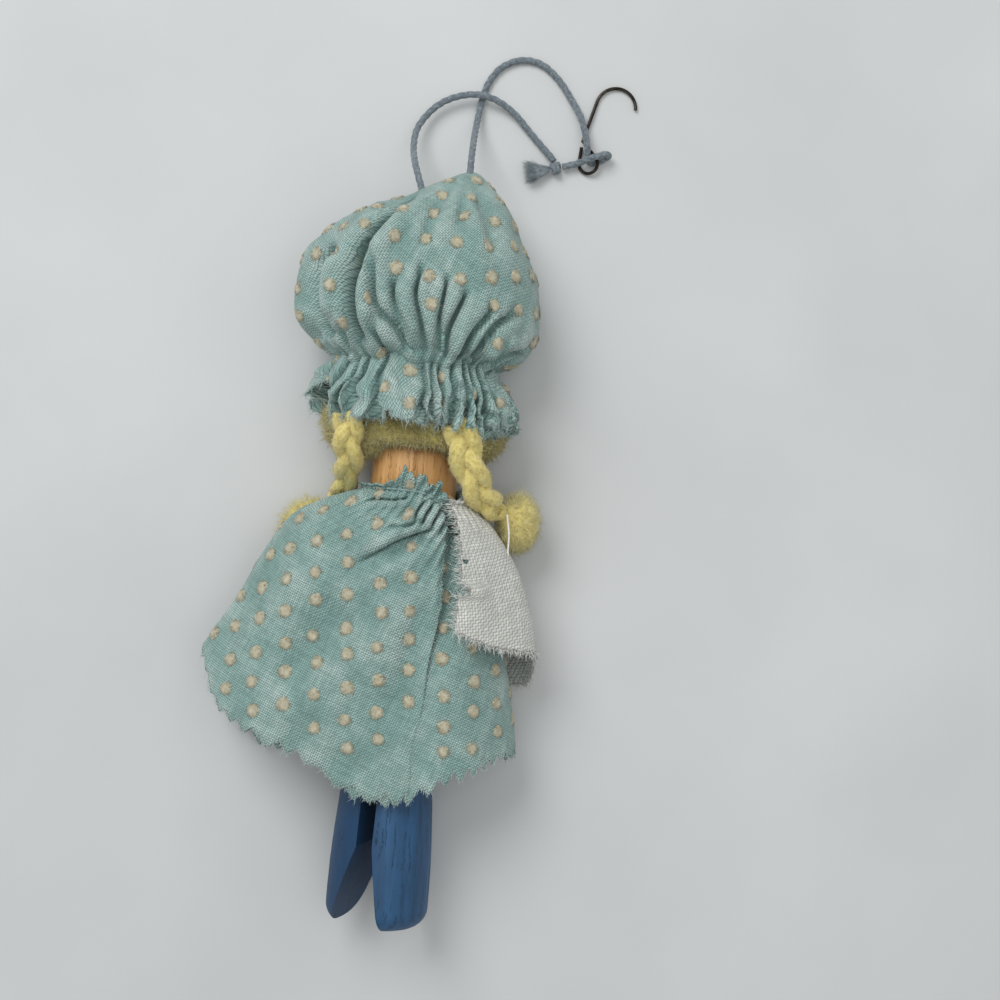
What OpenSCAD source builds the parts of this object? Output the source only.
// Clothespin doll ornament, lying face down on a table with its back up.
// +Z is up from the table, +Y runs from the feet to the bonnet, and the peg's axis is parallel to Y.
// All of the doll is laid out from the top of the peg's knob, so a longer peg only gets longer legs.

/* [Clothespin] */
// Length of the wooden peg, from the feet to the top of the knob
peg_length = 95; // [90:1:115]
// Diameter of the knob that is the doll's head
head_d = 15.6; // [14.4:0.2:16]
// Diameter of the neck under the knob
neck_d = 10.8; // [9:0.2:12]
// Diameter of the straight body
body_d = 14.5; // [13:0.1:15]
// Diameter across the two feet
foot_d = 17.2; // [15.8:0.1:18]
// Width of the saw slot between the prongs
slot_w = 2.8; // [2:0.1:3.4]
// Depth of the slot, measured from the feet
slot_depth = 58; // [45:1:62]
// Depth of the tapered mouth at the end of the slot
mouth_depth = 14; // [8:0.5:18]
// How far the left prong is cut back from the middle, at its foot
mouth_left = 6.2; // [3:0.1:6.4]
// How far the right prong is cut back from the middle, at its foot
mouth_right = 3.4; // [2:0.1:6.4]
// How far the doll has rolled on its face, in degrees
roll = 18; // [12:1:24]

/* [Cloth] */
// Thickness of the gathered dotted cotton
cloth_t = 0.6; // [0.5:0.05:0.7]
// Thickness of the apron's cotton
apron_t = 0.45; // [0.4:0.05:0.6]
// Length of the skirt at the middle of the back, from its thread to its hem
skirt_drop = 50.5; // [48:0.5:54]
// How far the skirt's hem stands out to the left of the peg's axis
hem_left = 33; // [29:0.5:36]
// How far the skirt's hem stands out to the right of the peg's axis
hem_right = 21; // [20:0.5:22]
// Number of pinked teeth along the hem
teeth = 44; // [30:1:44]
// Depth of a pinked tooth
tooth_depth = 1.6; // [0.8:0.1:2]
// Length of the apron, from its thread to its hem at the side
apron_drop = 23.6; // [20:0.2:25]
// How far the apron's hem stands out to the right of the peg's axis
apron_right = 22.9; // [22.6:0.1:26]

/* [Bonnet] */
// Height of the puffed crown above the gathering thread
crown_h = 32.5; // [28:0.5:34]
// Half width of the crown to the left of the peg's axis
crown_left = 21.6; // [20:0.2:24]
// Half width of the crown to the right of the peg's axis
crown_right = 18.8; // [18:0.2:21]
// Height of the crown's upper side above the peg's axis
crown_top = 15; // [13:0.2:17]
// Width of the ruffle, from the thread to its edge
ruffle_w = 8; // [6:0.2:9]
// Number of folds gathered into the thread
bonnet_folds = 15; // [11:1:18]

/* [Hair] */
// Thickness of the wool over the back of the knob
hair_t = 2.6; // [2.2:0.1:3]
// How far the wool stands out to the left of the peg's axis
hair_left = 16; // [14.4:0.2:16.4]
// How far the wool stands out to the right of the peg's axis
hair_right = 14.8; // [14:0.2:15.2]
// How far the wool reaches down from the top of the knob
hair_drop = 16.2; // [15:0.2:17]
// Half width of a plait, from its middle to its edge
plait_r = 2.05; // [1.7:0.05:2.2]
// Radius of the brushed-out tuft at the end of a plait
tuft_r = 4.6; // [4:0.1:4.8]

/* [Cord and hook] */
// Diameter of the twisted hanging cord
cord_d = 1.15; // [0.9:0.05:1.2]
// Diameter of the hook's wire
wire_d = 0.6; // [0.5:0.05:0.6]
// Mean radius of the hook's closed eye
eye_r = 1.7; // [1.65:0.05:1.9]
// From the middle of the eye to the place where its two sides meet
eye_neck = 4; // [3.6:0.1:4.4]
// Length of the hook's straight shank, from there to the crook
shank_len = 7.5; // [6:0.5:12]
// Mean radius of the hook's crook
crook_r = 3.45; // [2.6:0.05:5]

/* [Hidden] */

// Clearances
// Between two pieces that lie against each other
seat_gap = 0.2;
// Between pieces that move against each other
move_gap = 0.35;
// Between the table and what bears no weight
table_gap = 0.3;
// How deep the cloth that the doll lies on is pressed flat
flat_depth = 0.5;
// Overrun of every cut
over = 1;

// Sides of a round line, for the thread, the strands and the cord
thread_sides = 5;
strand_sides = 6;
cord_sides = 8;

// The peg
body_r = body_d / 2;
head_r = head_d / 2;
neck_r = neck_d / 2;
foot_r = foot_d / 2;
// Room under the body for the skirt and the apron
belly_room = 2.75;
axis_z = body_r + belly_room;
// From the top of the knob to the middle of the neck
head_h = 12.6;
// Height of the shoulder, from the neck to the full body
shoulder_h = 3.2;
// Height over which the prongs swell to the feet
swell_h = 34;
// Radius of the rounded toes
toe_r = 3.2;
neck_y = peg_length - head_h;
knob_y = peg_length - head_r;
// Steps in an arc of the peg's outline
arc_steps = 8;

// Levels along the peg
// From the top of the knob down to the skirt's thread
waist_drop = 21.8;
waist_y = peg_length - waist_drop;
// From the top of the knob down to the bonnet's thread
bonnet_drop = 0.8;
gather_y = peg_length - bonnet_drop;

full_turn = 360;

function mix(a, b, f) = a + (b - a) * f;
function ease(f) = let (g = min(1, max(0, f))) g * g * (3 - 2 * g);
function unit(v) = v / norm(v);
// Power that keeps the sign
function signed_pow(v, e) = sign(v) * pow(abs(v), e);
// Signed distance of an angle from another, from -180 to 180 degrees
function turn_to(angle, other) = (angle - other + 900) % 360 - 180;
function sum(list) = list * [for (each_one = list) 1];
// Row of a table at a share, which each row starts with
function row_at(table, share) =
    let (k = max([for (i = [0 : len(table) - 2]) if (table[i][0] <= share) i]), a = table[k], b = table[k + 1])
    mix(a, b, (share - a[0]) / (b[0] - a[0]));
function flat(rings) = [for (r = rings) each r];
function column(points, k) = [for (p = points) p[k]];
// Point of a smooth curve through a, b, c and d, between b and c
function curve(a, b, c, d, f) =
    b + f / 2 * (c - a + f * (2 * a - 5 * b + 4 * c - d + f * (3 * (b - c) + d - a)));
// Smooth curve through a closed table of evenly spaced values, at an angle of 0 to 360 degrees
function around(table, angle) =
    let (n = len(table), u = angle / 360 * n, i = floor(u))
    curve(table[(i - 1 + n) % n], table[i % n], table[(i + 1) % n], table[(i + 2) % n], u - i);
// Smooth curve through a list of points, at a share of the way through the list
function along(points, share) =
    let (last = len(points) - 1, u = min(0.9999, max(0, share)) * last, i = floor(u),
         b = points[i], c = points[i + 1],
         a = i > 0 ? points[i - 1] : 2 * b - c, d = i + 1 < last ? points[i + 2] : 2 * c - b)
    curve(a, b, c, d, u - i);

// A flattened round section about the peg's axis: angle 0 is the right, 90 the top, 180 the left.
// reach holds its extents to the right, the top, the left and the bottom, and full how square it is.
function reach_x(angle, reach) = cos(angle) > 0 ? reach[0] : reach[2];
function reach_z(angle, reach) = sin(angle) > 0 ? reach[1] : reach[3];
function section(angle, reach, full) = [
    reach_x(angle, reach) * signed_pow(cos(angle), 2 / full),
    reach_z(angle, reach) * signed_pow(sin(angle), 2 / full)
];
function outward(angle, reach, full) = unit([
    (signed_pow(cos(angle), 2 - 2 / full) + cos(angle) / 1000) / reach_x(angle, reach),
    (signed_pow(sin(angle), 2 - 2 / full) + sin(angle) / 1000) / reach_z(angle, reach)
]);
// A point of the section, kept outside the radius core, moved outwards by push and kept above the height low
function placed(angle, reach, full, push, y, low, core = 0) =
    let (q = section(angle, reach, full), p = q * max(1, core / norm(q)) + push * outward(angle, reach, full))
    [p[0], y, max(low, axis_z + p[1])];

// Faces between rings of n points
function ring_faces(n, rings) = [
    for (j = [0 : rings - 2], i = [0 : n - 1])
        let (a = j * n + i, b = j * n + (i + 1) % n)
        each [[a, a + n, b], [b, a + n, b + n]]
];
// A closed solid through rings of points, with a point at each end
module lofted(rings, first, last) {
    n = len(rings[0]);
    m = len(rings);
    caps = [for (i = [0 : n - 1]) let (j = (i + 1) % n)
        each [[n * m, i, j], [n * m + 1, (m - 1) * n + j, (m - 1) * n + i]]];
    polyhedron(concat(flat(rings), [first, last]), concat(ring_faces(n, m), caps));
}
// A sheet of cloth, whose rings run out along its outer face and back along its inner face
module sheet(rings) {
    n = len(rings[0]);
    m = len(rings);
    o = (m - 1) * n;
    ends = [for (i = [0 : n / 2 - 2]) let (a = i, b = i + 1, c = n - 2 - i, d = n - 1 - i)
        each [[a, b, d], [b, c, d], [o + b, o + a, o + d], [o + c, o + b, o + d]]];
    polyhedron(flat(rings), concat(ring_faces(n, m), ends));
}
// Ring of points about a place, square to the direction t
function round_ring(place, t, r, sides, up) =
    let (u = unit(cross(up, t)), v = cross(t, u))
    [for (k = [0 : sides - 1]) place - r * (u * cos(360 * k / sides) - v * sin(360 * k / sides))];
// A tube along a list of points, with one radius for each point
module tube(points, radii, sides, up) {
    last = len(points) - 1;
    rings = [for (i = [0 : last])
        round_ring(points[i], unit(points[min(i + 1, last)] - points[max(i - 1, 0)]), radii[i], sides, up)];
    lofted(rings, points[0], points[last]);
}
// Turns Z to the direction t
module facing(t) rotate([0, acos(t[2]), atan2(t[1], t[0])]) children();
module cone_between(a, b, ra, rb) {
    translate(a) facing(unit(b - a)) cylinder(h = norm(b - a), r1 = ra, r2 = rb, $fn = 32);
}

// Outline of the peg, from the middle of the feet to the top of the knob
function arc(cx, cy, r, from, to) = [for (i = [0 : arc_steps])
    let (a = mix(from, to, i / arc_steps)) [cx + r * cos(a), cy + r * sin(a)]];
function swell(r0, y0, r1, y1) = [for (i = [0 : arc_steps])
    let (f = i / arc_steps) [mix(r0, r1, ease(f)), mix(y0, y1, f)]];
// Angle, from the middle of the knob, at which the neck's hollow cuts the ball
knob_cut = 12 - acos(neck_r / head_r);
peg_outline = concat(
    [[0, 0]],
    arc(foot_r - toe_r, toe_r, toe_r, -90, 0),
    swell(foot_r, 2 * toe_r, body_r, swell_h),
    swell(body_r, neck_y - shoulder_h, neck_r, neck_y),
    arc(0, knob_y, head_r, knob_cut, 90)
);
// Radius of the peg at a height, for the wool that follows it
function peg_r_at(y) =
    y > knob_y ? sqrt(max(0, head_r * head_r - (y - knob_y) * (y - knob_y)))
    : y > neck_y ? head_r
    : mix(neck_r, body_r, ease((neck_y - y) / shoulder_h));

module clothespin() {
    color("burlywood") translate([0, 0, axis_z]) rotate([0, -roll, 0]) difference() {
        rotate([-90, 0, 0]) rotate_extrude($fn = 96) polygon(peg_outline);
        slot();
    }
}
// Saw slot with a round end and a tapered mouth, cut back more on the left prong
module slot() {
    round_y = slot_depth - slot_w / 2;
    translate([0, 0, -foot_r - over]) linear_extrude(foot_d + 2 * over) {
        translate([-slot_w / 2, -over]) square([slot_w, round_y + over]);
        translate([0, round_y]) circle(d = slot_w, $fn = 32);
        polygon([[-mouth_left, -over], [mouth_right, -over], [mouth_right, 0],
                 [slot_w / 2, mouth_depth], [-slot_w / 2, mouth_depth], [-mouth_left, 0]]);
    }
}

// The face looks down and to the right, because the doll has rolled
face_angle = roll - 90;
// Half of the angle that the wool leaves open at the face
face_half_angle = 58;
// From the top of the knob down to the hairline over the face
hairline_drop = 4;
// Wool above the top of the knob, and its least thickness
hair_over = 3;
hair_skin = 0.8;
hair_full = 1.8;
hair_steps = 30;
hair_top = head_r + hair_t;
// How much higher the wool ends at the nape
nape_rise = 2.2;
// Shares of the wool's reach from the top down, at the sides and at the back
hair_side_shares = [0.2, 0.45, 0.61, 0.72, 0.81, 0.89, 0.96, 1.0, 0.99, 0.93, 0.78];
hair_back_shares = [0.2, 0.55, 0.80, 0.92, 0.97, 0.99, 1.0, 1.0, 1.0, 0.97, 0.86];
// Shares of the way down to the hairline at which the rings outside and inside lie
hair_outside_shares = [0.03, 0.12, 0.25, 0.48, 0.72, 0.9, 1];
hair_inside_shares = [1, 0.84, 0.7, 0.58, 0.46, 0.36, 0.27, 0.19, 0.12, 0.06, 0.02];
function hairline(angle) =
    let (off = abs(turn_to(angle, face_angle)) - face_half_angle / 2)
    mix(hairline_drop, hair_drop - nape_rise * ease(4 * sin(angle) - 2.6), ease(off / face_half_angle));
function hair_y(angle, share) = peg_length + hair_over - share * (hairline(angle) + hair_over);
// The wool's section, kept at least its skin away from the peg
function hair_outside(angle, share) =
    let (y = hair_y(angle, share), level = (peg_length + hair_over - y) / (hair_drop + hair_over),
         side = along(hair_side_shares, level), back = along(hair_back_shares, level), core = peg_r_at(y) + seat_gap + hair_skin)
    placed(angle, [hair_right * side, hair_top * back, hair_left * side, axis_z * back], hair_full, 0, y,
           cloth_t + seat_gap, core);
function hair_inside(angle, share) =
    let (y = mix(peg_length + seat_gap, hair_y(angle, 1), share), r = peg_r_at(y) + 2 * seat_gap)
    [r * cos(angle), y, axis_z + r * sin(angle)];
module hair() {
    angles = [for (i = [0 : hair_steps - 1]) 360 * i / hair_steps];
    outside = [for (share = hair_outside_shares) [for (a = angles) hair_outside(a, share)]];
    inside = [for (share = hair_inside_shares) [for (a = angles) hair_inside(a, share)]];
    color("khaki")
        lofted(concat(outside, inside), [0, peg_length + hair_over, axis_z], [0, peg_length + seat_gap, axis_z]);
}

// Bonnet. Rows of the crown from its peak down: share of the crown's height, shares of its reach to
// the right, the top, the left and the bottom, and the share of the folds' depth.
crown_rows_shares = [
    [0.985, 0.10, 0.16, 0.13, 0.30, 0], [0.94, 0.25, 0.36, 0.32, 0.55, 0.1], [0.84, 0.47, 0.60, 0.54, 0.80, 0.3],
    [0.72, 0.70, 0.80, 0.78, 0.96, 0.5], [0.56, 0.90, 0.95, 0.93, 1, 0.6], [0.38, 0.99, 1, 1, 1, 0.7],
    [0.20, 1, 0.98, 0.99, 1, 0.9], [0.09, 0.93, 0.90, 0.90, 0.99, 1]
];
crown_full = 2.3;
// The peak is off the axis, where the cord draws it up, and starts to lean at a share of the height
peak_x = 5.5;
peak_from_share = 0.55;
// The peak's height above the axis
peak_z = 1.6;
// Extents of the gathered ring to each side
gather_right = 12.4;
gather_left = 15.3;
gather_top = hair_top + cloth_t + 3 * seat_gap;
gather_reach = [gather_right, gather_top, gather_left, axis_z - table_gap];
// Depth of the crown's folds at the thread, and of the ruffle's waves at its edge
fold_depth = 1.1;
wave_depth = 0.9;
// How far the ruffle's edge stands out past the thread to each side, and how much lower it hangs on the right
ruffle_flare = [3.2, 1.0, 3.0, flat_depth];
ruffle_sag = 3;
bonnet_steps = 60;
bonnet_angles = [for (i = [0 : bonnet_steps - 1]) 360 * i / bonnet_steps];
function bonnet_fold(angle, depth) = depth * cos(bonnet_folds * angle + 40 * sin(angle));
function crown_point(angle, row, push) =
    let (reach = [crown_right * row[1], crown_top * row[2], crown_left * row[3], (axis_z + flat_depth) * row[4]],
         lean = peak_x * ease((row[0] - peak_from_share) / (1 - peak_from_share)),
         p = placed(angle, reach, crown_full, push + bonnet_fold(angle, fold_depth * row[5]),
                    gather_y + crown_h * row[0], push < 0 ? cloth_t : 0))
    p + [lean, 0, 0];
function ruffle_point(angle, share, push) =
    let (sag = ruffle_sag * ease(cos(angle) - 0.2) * share)
    placed(angle, gather_reach + ruffle_flare * ease(share * 1.4), crown_full,
           push + wave_depth * share * ease(1 + sin(angle)) * (1 + bonnet_fold(angle, 1)),
           gather_y - ruffle_w * share - sag, push < 0 ? cloth_t : 0);
module bonnet() {
    rows = crown_rows_shares;
    outside = concat(
        [for (row = rows) [for (a = bonnet_angles) crown_point(a, row, 0)]],
        [for (share = [0, 0.5, 1]) [for (a = bonnet_angles) ruffle_point(a, share, 0)]]);
    inside = concat(
        [for (share = [1, 0.5, 0]) [for (a = bonnet_angles) ruffle_point(a, share, -cloth_t)]],
        [for (k = [7, 5, 4, 3, 2, 1]) [for (a = bonnet_angles) crown_point(a, rows[k], -cloth_t)]]);
    peak = [peak_x, gather_y + crown_h, axis_z + peak_z];
    color("paleturquoise") lofted(concat(outside, inside), peak, peak - [0, 4 * cloth_t, 0]);
}
// Thread pulled tight in the bonnet's gathers
thread_d = 0.5;
thread_off = thread_d / 2 + seat_gap / 4;
thread_low = thread_d / 2 + table_gap / 4;
module thread_ring(reach, full, y) {
    ring = [for (a = bonnet_angles) placed(a, reach, full, thread_off, y, thread_low)];
    n = bonnet_steps;
    rings = [for (i = [0 : n - 1])
        round_ring(ring[i], unit(ring[(i + 1) % n] - ring[(i + n - 1) % n]), thread_d / 2, thread_sides, [0, 1, 0])];
    faces = [for (f = ring_faces(thread_sides, n + 1)) [for (v = f) v % (n * thread_sides)]];
    color("lightcyan") polyhedron(flat(rings), faces);
}
module bonnet_thread() thread_ring(gather_reach, crown_full, gather_y);

// Plaits. The middle line of each, from its root to its tie, as shares of the wool's half width,
// of the drop from the top of the knob to the tie, and of the height of the wool.
hair_side = (hair_left + hair_right) / 2;
hair_peak_z = axis_z + hair_top;
plait_drop = 25;
left_line_shares = [
    [-0.715, -0.42, 0.940], [-0.71, -0.54, 0.930], [-0.70, -0.70, 0.760], [-0.75, -0.85, 0.420], [-0.90, -1, 0.160]
];
right_line_shares = [
    [0.48, -0.415, 0.990], [0.54, -0.57, 0.985], [0.66, -0.77, 0.890], [0.82, -0.91, 0.700], [0.98, -0.975, 0.520]
];
plait_steps = 20;
plait_turns = 1.35;
// Shares of the plait's half width: how far a strand weaves sideways and in depth, and its radius
weave_side_share = 0.7;
weave_depth_share = 0.35;
strand_share = 0.295;
// Shares of the half width at the root and above the tie, and how far the tie draws it in
root_share = 1.1;
tip_share = 0.92;
drawn_share = 0.52;
function plait_size(f) = plait_r * mix(root_share, tip_share, f) * mix(1, drawn_share, ease((f - 0.78) / 0.2));
function plait_place(line, f) =
    let (p = along(line, f)) [hair_side * p[0], peg_length + plait_drop * p[1], hair_peak_z * p[2]];
function plait_way(line, f) = unit(plait_place(line, min(1, f + 0.03)) - plait_place(line, max(0, f - 0.03)));
function strand_point(line, f, k) =
    let (a = 360 * plait_turns * f + 120 * k, t = plait_way(line, f), u = unit(cross([0, 0, 1], t)))
    plait_place(line, f) + plait_size(f) * (weave_side_share * sin(a) * u + weave_depth_share * sin(2 * a) * cross(t, u));
module plait(line) {
    shares = [for (i = [0 : plait_steps]) i / plait_steps];
    color("khaki") for (k = [0 : 2])
        tube([for (f = shares) strand_point(line, f, k)], [for (f = shares) strand_share * plait_size(f)],
             strand_sides, [0.2, 0.1, 1]);
}
tie_d = 0.9;
plait_end_r = plait_size(1) * (weave_side_share + strand_share);
tie_share = 0.95;
module tie(line) {
    color("gold") translate(plait_place(line, tie_share)) facing(plait_way(line, tie_share)) rotate_extrude($fn = 32)
        translate([plait_end_r + seat_gap / 2 + tie_d / 2, 0]) circle(d = tie_d, $fn = 20);
}
// Tufts: a ball of loose wool with a neck that starts at the plait's end
left_tuft_shares = [-1.21, -1.200];
right_tuft_shares = [1.225, -1.02];
// The left tuft is pressed flat under the skirt
left_tuft_h = 5.4;
left_tuft_z = left_tuft_h / 2 + table_gap;
right_tuft_z = 8;
// Share of the tuft's radius at the wide end of its neck
neck_share = 0.55;
module tuft(line, place_shares, z, height) {
    c = [hair_side * place_shares[0], peg_length + plait_drop * place_shares[1], z];
    start = plait_place(line, 1) + seat_gap * plait_way(line, 1);
    color("khaki") intersection() {
        union() {
            translate(c) sphere(tuft_r, $fn = 48);
            cone_between(start, c, plait_end_r, tuft_r * neck_share);
        }
        translate(c - [4 * tuft_r, 4 * tuft_r, height / 2]) cube([8 * tuft_r, 8 * tuft_r, height]);
    }
}
module left_plait() plait(left_line_shares);
module right_plait() plait(right_line_shares);
module left_tie() tie(left_line_shares);
module right_tie() tie(right_line_shares);
module left_tuft() tuft(left_line_shares, left_tuft_shares, left_tuft_z, left_tuft_h);
module right_tuft() tuft(right_line_shares, right_tuft_shares, right_tuft_z, 2 * tuft_r + over);

// Skirt: a strip of cloth, gathered round the body, whose ends lap at the back.
// Its first end lies on top, and moves towards the middle of the back from the thread to the hem.
lap_waist_angle = 54;
lap_hem_angle = 82;
lap_over_angle = 18;
lap_turn = full_turn + lap_over_angle;
// Angle over which the first end comes down on the layer below
lap_blend = 60;
lap_lift = cloth_t + 2 * seat_gap;
frill_h = 2.2;
waist_r = body_r + seat_gap + cloth_t;
// The hem's height over the axis, as it rests on the peg's back
hem_top = body_r + cloth_t + 3;
// Rows from the frill down: share of the drop, shares of the way from the waist's reach to the hem's
// to the right, the top, the left and the bottom, and shares of the pleats' and the folds' depth
skirt_rows_shares = [
    [-0.045, 0.06, 0.40, 0.02, 0.2, 1, 0], [0, 0, 0, 0, 0, 0, 0], [0.10, 0.20, 0.35, 0.28, 0.1, 0.6, 0.1],
    [0.22, 0.38, 0.5, 0.49, 0.15, 0.3, 0.3], [0.45, 0.60, 0.7, 0.66, 0.35, 0.1, 0.6],
    [0.72, 0.83, 0.85, 0.80, 0.75, 0, 0.8], [1, 1, 1, 1, 1, 0, 1]
];
// The skirt is built at these shares of the drop, below its frill and its thread
skirt_levels_shares = [0.05, 0.1, 0.16, 0.22, 0.3, 0.4, 0.5, 0.62, 0.74, 0.87, 1];
skirt_rows = concat([skirt_rows_shares[0], skirt_rows_shares[1]],
    [for (share = skirt_levels_shares) row_at(skirt_rows_shares, share)]);
// The hem's distance from the thread, as shares of the drop, every 30 degrees from the right
hem_shares = [0.82, 0.84, 0.89, 0.985, 0.84, 0.74, 0.54, 0.76, 0.86, 0.88, 0.86, 0.84];
pleat_depth = 0.45;
drape_depth = 1.1;
drape_count = 5;
// Height over the axis within which the creases of the back fade out
crease_fade = 5;
// The main creases of the back, each from its upper end down: three places as shares of the hem's reach
// to the left and of the skirt's drop, then its half width and its depth as shares of the drop
skirt_creases_shares = [
    [[0.13, 0.13], [-0.08, 0.21], [-0.31, 0.28], 0.03, 0.032],
    [[-0.25, 0.36], [-0.44, 0.54], [-0.61, 0.71], 0.085, 0.03],
    [[0.15, 0.33], [0.09, 0.53], [0.02, 0.79], 0.055, 0.026],
    [[-0.38, 0.71], [-0.46, 0.84], [-0.53, 0.98], 0.06, 0.016]
];
skirt_full = 2.2;
// Over the plait that lies beneath it on the left, the underside is drawn up
tucked_full = 1.25;
function skirt_full_at(angle, share) =
    let (under = ease(-3 * sin(angle)) * ease(0.6 - 3 * cos(angle)))
    mix(skirt_full, tucked_full, under * ease((0.62 - share) / 0.25));
function skirt_reach(row) = [
    mix(waist_r, hem_right, row[1]), mix(waist_r, hem_top, row[2]), mix(waist_r, hem_left, row[3]),
    mix(waist_r, axis_z + flat_depth, row[4])
];
function skirt_fold(angle, row) =
    pleat_depth * row[5] * (1 + cos(teeth / 2 * angle))
    + drape_depth * row[6] * max(0.2 * sin(angle) * sin(angle), sin(angle)) * cos(drape_count * angle + 70);
// The apron's front lies between the skirt and the table
function skirt_low(share) = mix(apron_t + 2 * seat_gap, 0, ease((share - 0.66) / 0.26));
// Distance of a place from the line between two others
function line_gap(p, a, b) = norm(p - mix(a, b, min(1, max(0, (p - a) * (b - a) / ((b - a) * (b - a))))));
function crease_place(share) = [hem_left * share[0], waist_y - skirt_drop * share[1]];
// How far the creases draw in a place of the back's top side
function skirt_crease(place) =
    ease((place[2] - axis_z) / crease_fade) * skirt_drop
    * sum([for (c = skirt_creases_shares)
        let (p = [place[0], place[1]], a = crease_place(c[0]), b = crease_place(c[1]), d = crease_place(c[2]),
             gap = min(line_gap(p, a, b), line_gap(p, b, d)) / (c[3] * skirt_drop))
        c[4] * exp(-gap * gap)]);
function skirt_point(i, row, push) =
    let (turned = lap_turn * i / (2 * teeth), share = row[0],
         first = mix(lap_waist_angle, lap_hem_angle, max(0, share)),
         angle = (first + turned) % 360,
         tooth = share == 1 ? tooth_depth * (i % 2) : 0,
         drop = share < 0 ? -frill_h : share * skirt_drop * around(hem_shares, angle),
         lap = lap_lift * (1 - ease((turned - lap_over_angle) / lap_blend)),
         reach = skirt_reach(row), full = skirt_full_at(angle, share), fold = push + lap + skirt_fold(angle, row),
         y = waist_y - drop - tooth, low = skirt_low(share) + (push < 0 ? cloth_t : 0),
         smooth = placed(angle, reach, full, fold, y, low, waist_r))
    placed(angle, reach, full, fold - skirt_crease(smooth), y, low, waist_r);
skirt_rings = [for (row = skirt_rows) concat(
    [for (i = [0 : 2 * teeth]) skirt_point(i, row, 0)],
    [for (i = [2 * teeth : -1 : 0]) skirt_point(i, row, -cloth_t)])];
module skirt() {
    color("paleturquoise") sheet(skirt_rings);
}
skirt_waist_reach = [waist_r + lap_lift / 2, waist_r + lap_lift, waist_r + lap_lift, waist_r];
module skirt_thread() thread_ring(skirt_waist_reach, skirt_full, waist_y);

// Apron: from its edge on the back, round the right side and under the skirt's front
apron_waist_angle = 48;
apron_hem_angle = 69;
apron_end_angle = -120;
apron_steps = 28;
// Between the skirt and the apron
apron_gap = 0.35;
apron_waist_drop = 1.9;
apron_y = waist_y - apron_waist_drop;
apron_waist_r = waist_r + lap_lift + thread_d + seat_gap + apron_t;
apron_waist_reach = [apron_waist_r, apron_waist_r, apron_waist_r + 2 * seat_gap, axis_z - thread_low - thread_off];
// The hem's height over the axis, on the skirt's back
apron_top = hem_top + lap_lift + apron_t + seat_gap;
// Rows: share of the drop, and shares of the way from the waist's reach to the hem's to the side, top and bottom
apron_rows_shares = [
    [0, 0, 0, 0], [0.12, 0.24, 0.4, 0.6], [0.28, 0.48, 0.6, 0.8], [0.5, 0.72, 0.8, 1], [0.75, 0.89, 0.9, 1], [1, 1, 1, 1]
];
// The hem's distance from the thread, as shares of the drop, from the edge on the back to the end in front
apron_hem_shares = [0.86, 0.95, 0.97, 0.99, 1.16, 1.20, 1.18, 1.15, 1.1, 1.0];
apron_wave = 0.7;
apron_waves = 4;
function apron_point(f, row, push) =
    let (share = row[0], angle = mix(mix(apron_waist_angle, apron_hem_angle, sqrt(share)), apron_end_angle, f),
         waist = apron_waist_reach,
         reach = [mix(waist[0], apron_right, row[1]), mix(waist[1], apron_top, row[2]),
                  mix(waist[2], hem_left / 2, row[1]), mix(waist[3], axis_z + flat_depth, row[3])])
    placed(angle, reach, skirt_full, push + apron_wave * share * ease(1 + sin(angle)) * (1 + cos(360 * apron_waves * f)) / 2,
           apron_y - share * apron_drop * along(apron_hem_shares, f), push < 0 ? apron_t : 0);
apron_rings = [for (row = apron_rows_shares) concat(
    [for (i = [apron_steps : -1 : 0]) apron_point(i / apron_steps, row, 0)],
    [for (i = [0 : apron_steps]) apron_point(i / apron_steps, row, -apron_t)])];
module apron() {
    color("white") sheet(apron_rings);
}
module apron_thread() thread_ring(apron_waist_reach, skirt_full, apron_y);

// Cord. Its points are places from the peg's axis, from the top of the knob and from the table.
cord_left_route = [
    [-3.0, 29.2, 11.6], [-3.7, 31.2, 11.0], [-4.5, 33.6, 9.2], [-5.2, 36.8, 5.8], [-5.1, 40.4, 3.2],
    [-3.6, 43.4, 2.1], [-1.4, 45.6, 2.0], [1.4, 47.0, 2.1], [4.6, 47.6, 2.2], [8.0, 47.0, 2.1],
    [11.4, 45.1, 1.3], [14.2, 42.4, 0.8], [16.8, 39.8, 0.8], [18.4, 38.2, 1.1], [19.0, 37.5, 1.25]
];
cord_inside_route = [
    [-2.9, 28.9, 11.7], [-2.3, 27.0, 12.2], [-1.0, 25.4, 12.6], [1.4, 24.9, 12.8], [3.8, 26.6, 12.8],
    [4.9, 30.4, 12.2], [5.0, 32.0, 11.7]
];
cord_right_route = [
    [5.0, 32.4, 11.6], [5.0, 34.2, 11.0], [5.0, 36.6, 9.0], [5.0, 39.8, 5.2], [5.2, 43.4, 2.0], [5.7, 47.4, 0.7],
    [6.6, 50.4, 0.6], [8.6, 53.1, 0.6], [11.8, 54.6, 0.6], [15.4, 54.2, 0.6], [18.6, 51.8, 0.6],
    [21.2, 48.4, 0.8], [23.0, 45.4, 1.6], [24.0, 42.6, 2.1], [24.5, 40.4, 2.2], [24.7, 39.2, 1.9],
    [24.9, 38.2, 1.0], [25.6, 37.8, 0.6], [26.6, 38.1, 0.6], [27.6, 38.6, 0.7], [28.3, 39.0, 1.3],
    [28.3, 39.2, 2.1], [27.6, 39.1, 2.65], [26.5, 38.7, 2.7], [25.4, 38.3, 2.6], [24.4, 37.9, 2.1],
    [23.4, 37.5, 1.5], [22.2, 37.1, 1.2], [20.6, 36.6, 1.25]
];
function cord_place(p) = [p[0], peg_length + p[1], p[2]];
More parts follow.
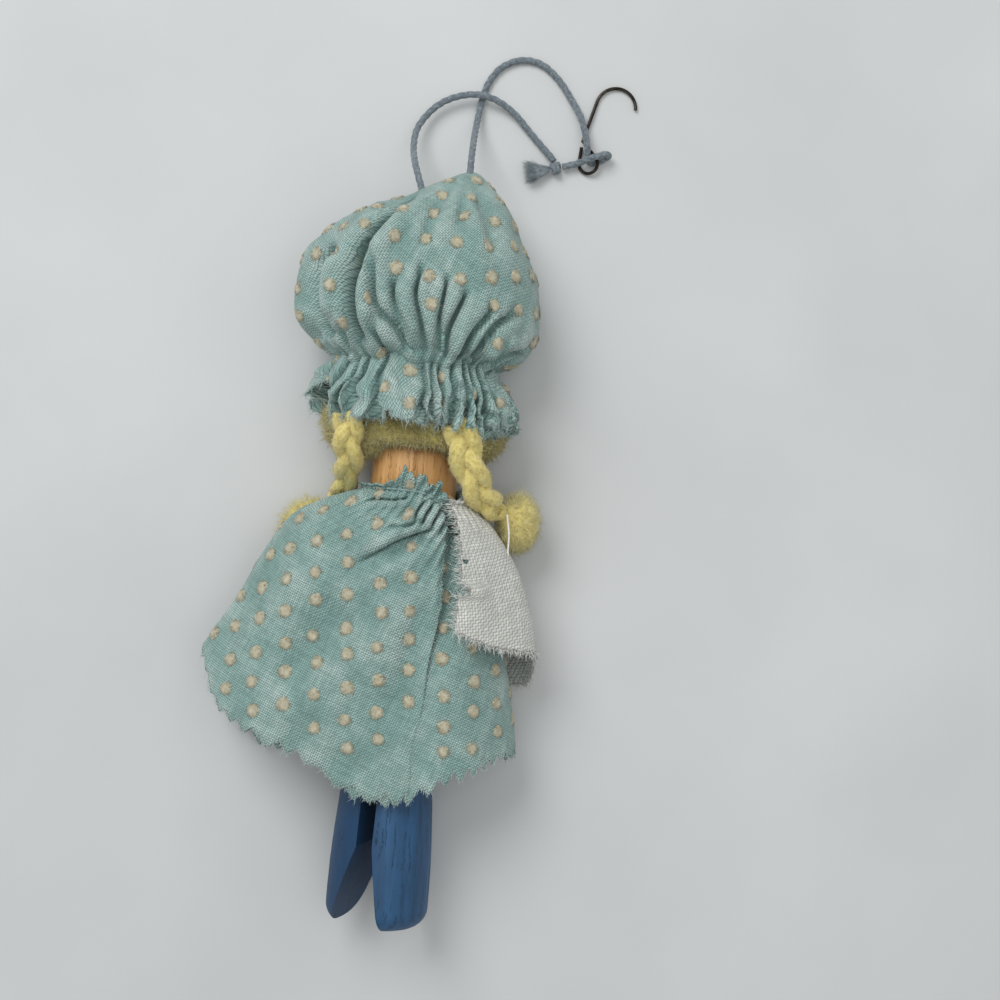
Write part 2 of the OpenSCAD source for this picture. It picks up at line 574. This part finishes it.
module cord_run(route, steps) {
    points = [for (i = [0 : steps]) cord_place(along(route, i / steps))];
    color("lightsteelblue") tube(points, [for (p = points) cord_d / 2], cord_sides, [0.1, 0.3, 1]);
}
module cord_left() cord_run(cord_left_route, 26);
module cord_inside() cord_run(cord_inside_route, 10);
module cord_right() cord_run(cord_right_route, 40);
// The overhand knot, with the frayed ends of the cord beyond it
knot_r = 1.2;
knot_at = cord_place([19.4, 36.2, 1.25]);
tassel_tip = cord_place([13.6, 34.9, 1.1]);
tassel_r = 1.6;
module cord_knot() {
    color("lightsteelblue") translate(knot_at) sphere(knot_r, $fn = 32);
}
module cord_tassel() {
    start = knot_at + knot_r * unit(tassel_tip - knot_at);
    color("lightsteelblue") difference() {
        cone_between(start, tassel_tip, cord_d / 2, tassel_r);
        translate(tassel_tip - [4 * tassel_r, 4 * tassel_r, tassel_tip[2] + 4 * tassel_r - seat_gap / 4])
            cube([8 * tassel_r, 8 * tassel_r, 4 * tassel_r]);
    }
}

// Hook: one wire, bent into an eye, a shank and a crook. It lies on the table, and the eye leans on
// the cord that passes under its right side.
wire_r = wire_d / 2;
eye_route = [25, 37.6, 0.95];
eye_at = cord_place(eye_route);
eye_turn = 19;
eye_tilt = 22;
shank_angle = 75;
crook_turn = 166;
// The crook's height, and half of the angle at which the eye's two sides meet
crook_z = 0.5;
half_neck = asin(eye_r / eye_neck);
eye_steps = 20;
crook_steps = 16;
// Share of the way up to the neck at which the wire of the eye ends
eye_end_share = 0.72;
eye_neck_at = eye_at + eye_neck * [-sin(eye_turn), cos(eye_turn), 0];
crook_from = [eye_neck_at[0] + shank_len * cos(shank_angle), eye_neck_at[1] + shank_len * sin(shank_angle), crook_z];
crook_at = crook_from + crook_r * [sin(shank_angle), -cos(shank_angle), 0];
// A point of the eye's own plane, turned and tilted to its place
function eye_place(x, y) =
    let (u = x * cos(eye_tilt))
    eye_at + [u * cos(eye_turn) - y * sin(eye_turn), u * sin(eye_turn) + y * cos(eye_turn), x * sin(eye_tilt)];
function eye_arc(i) =
    let (a = half_neck - (full_turn / 2 + 2 * half_neck) * i / eye_steps) eye_place(eye_r * cos(a), eye_r * sin(a));
function crook_arc(i) =
    let (a = shank_angle + 90 - crook_turn * (1 - i / crook_steps)) crook_at + crook_r * [cos(a), sin(a), 0];
hook_line = concat(
    [for (i = [0 : crook_steps]) crook_arc(i)],
    [mix(crook_from, eye_neck_at, 0.5), eye_neck_at],
    [for (i = [0 : eye_steps]) eye_arc(i)],
    [mix(eye_arc(eye_steps), eye_neck_at, eye_end_share)]
);
module hook() {
    color("dimgray") tube(hook_line, [for (p = hook_line) wire_r], cord_sides, [0.05, 0.1, 1]);
}

// The frame's origin is on the table, under the middle of the doll
doll_left = min(column(flat(skirt_rings), 0));
doll_right = max(column(flat(apron_rings), 0));
doll_top = gather_y + crown_h;
module in_frame() translate([-(doll_left + doll_right) / 2, -doll_top / 2, 0]) children();

in_frame() clothespin();
in_frame() hair();
in_frame() bonnet();
in_frame() bonnet_thread();
in_frame() left_plait();
in_frame() left_tie();
in_frame() left_tuft();
in_frame() right_plait();
in_frame() right_tie();
in_frame() right_tuft();
in_frame() skirt();
in_frame() skirt_thread();
in_frame() apron();
in_frame() apron_thread();
in_frame() cord_left();
in_frame() cord_inside();
in_frame() cord_right();
in_frame() cord_knot();
in_frame() cord_tassel();
in_frame() hook();
